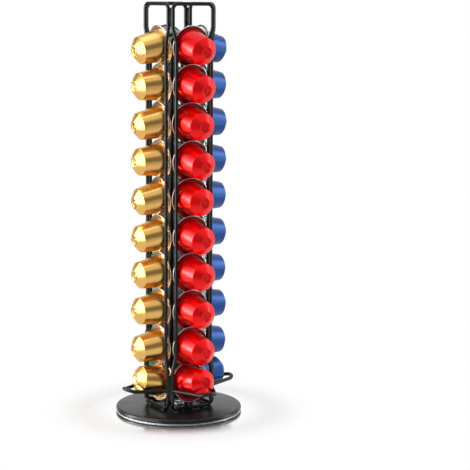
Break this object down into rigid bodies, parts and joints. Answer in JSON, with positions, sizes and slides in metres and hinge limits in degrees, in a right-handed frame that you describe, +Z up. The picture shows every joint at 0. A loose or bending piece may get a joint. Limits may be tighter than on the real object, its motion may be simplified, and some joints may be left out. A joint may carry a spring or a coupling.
{
  "type": "coffee capsule dispenser",
  "caption": "Revolving wire dispenser that holds stacks of coffee capsules in upright channels on a round black turntable.",
  "frame": {"origin": "centre of the underside of the foot ring, on the turning axis", "axes": "+Z up along the turning axis, -Y out of the front channel (red capsules), +X out of the right channel (blue capsules)"},
  "size_m": [0.1162, 0.1162, 0.3753],
  "materials": {
    "powder_coat": "satin black coating on steel wire",
    "turntable_paint": "satin black coating on steel sheet",
    "zinc_plate": "zinc plated",
    "polished_steel": "polished",
    "nylon": "natural nylon",
    "rubber": "matte",
    "red_aluminium": "red lacquered, silver foil lid",
    "blue_aluminium": "blue lacquered, silver foil lid",
    "green_aluminium": "green lacquered, silver foil lid",
    "gold_aluminium": "gold lacquered, silver foil lid"
  },
  "bodies": {
    "base": {"base_plate": "zinc_plate", "foot_ring": "rubber", "pivot_rivet": "polished_steel", "pivot_washer": "zinc_plate"},
    "ball_ring": {"ball_cage": "nylon", "bearing_ball_1": "polished_steel", "bearing_ball_2": "polished_steel", "bearing_ball_3": "polished_steel", "bearing_ball_4": "polished_steel"},
    "rack": {"turntable": "turntable_paint", "guide_front_back": "powder_coat", "guide_left_right": "powder_coat", "frame_front": "powder_coat", "frame_right": "powder_coat", "frame_back": "powder_coat", "frame_left": "powder_coat", "cradle_front": "powder_coat", "cradle_right": "powder_coat", "cradle_back": "powder_coat", "cradle_left": "powder_coat"},
    "column_front": {"capsule_front_01": "red_aluminium", "capsule_front_02": "red_aluminium", "capsule_front_03": "red_aluminium", "capsule_front_04": "red_aluminium", "capsule_front_05": "red_aluminium", "capsule_front_06": "red_aluminium", "capsule_front_07": "red_aluminium", "capsule_front_08": "red_aluminium", "capsule_front_09": "red_aluminium", "capsule_front_10": "red_aluminium"},
    "column_right": {"capsule_right_01": "blue_aluminium", "capsule_right_02": "blue_aluminium", "capsule_right_03": "blue_aluminium", "capsule_right_04": "blue_aluminium", "capsule_right_05": "blue_aluminium", "capsule_right_06": "blue_aluminium", "capsule_right_07": "blue_aluminium", "capsule_right_08": "blue_aluminium", "capsule_right_09": "blue_aluminium", "capsule_right_10": "blue_aluminium"},
    "column_back": {"capsule_back_01": "green_aluminium", "capsule_back_02": "green_aluminium", "capsule_back_03": "green_aluminium", "capsule_back_04": "green_aluminium", "capsule_back_05": "green_aluminium", "capsule_back_06": "green_aluminium", "capsule_back_07": "green_aluminium", "capsule_back_08": "green_aluminium", "capsule_back_09": "green_aluminium", "capsule_back_10": "green_aluminium"},
    "column_left": {"capsule_left_01": "gold_aluminium", "capsule_left_02": "gold_aluminium", "capsule_left_03": "gold_aluminium", "capsule_left_04": "gold_aluminium", "capsule_left_05": "gold_aluminium", "capsule_left_06": "gold_aluminium", "capsule_left_07": "gold_aluminium", "capsule_left_08": "gold_aluminium", "capsule_left_09": "gold_aluminium", "capsule_left_10": "gold_aluminium"}
  },
  "joints": [
    {"name": "turntable_spin", "type": "hinge", "parent": "base", "child": "rack", "pos_m": [0, 0, 0.0038], "axis": [0, 0, 1], "continuous": true},
    {"name": "ball_ring_spin", "type": "hinge", "parent": "base", "child": "ball_ring", "pos_m": [0, 0, 0.00265], "axis": [0, 0, 1], "continuous": true},
    {"name": "column_front_lift", "type": "slide", "parent": "rack", "child": "column_front", "axis": [0, 0, 1], "range_m": [0, 0.015]},
    {"name": "column_right_lift", "type": "slide", "parent": "rack", "child": "column_right", "axis": [0, 0, 1], "range_m": [0, 0.015]},
    {"name": "column_back_lift", "type": "slide", "parent": "rack", "child": "column_back", "axis": [0, 0, 1], "range_m": [0, 0.015]},
    {"name": "column_left_lift", "type": "slide", "parent": "rack", "child": "column_left", "axis": [0, 0, 1], "range_m": [0, 0.015]}
  ],
  "couplings": [
    {"joint": "ball_ring_spin", "follows": "turntable_spin", "ratio": 0.5}
  ]
}
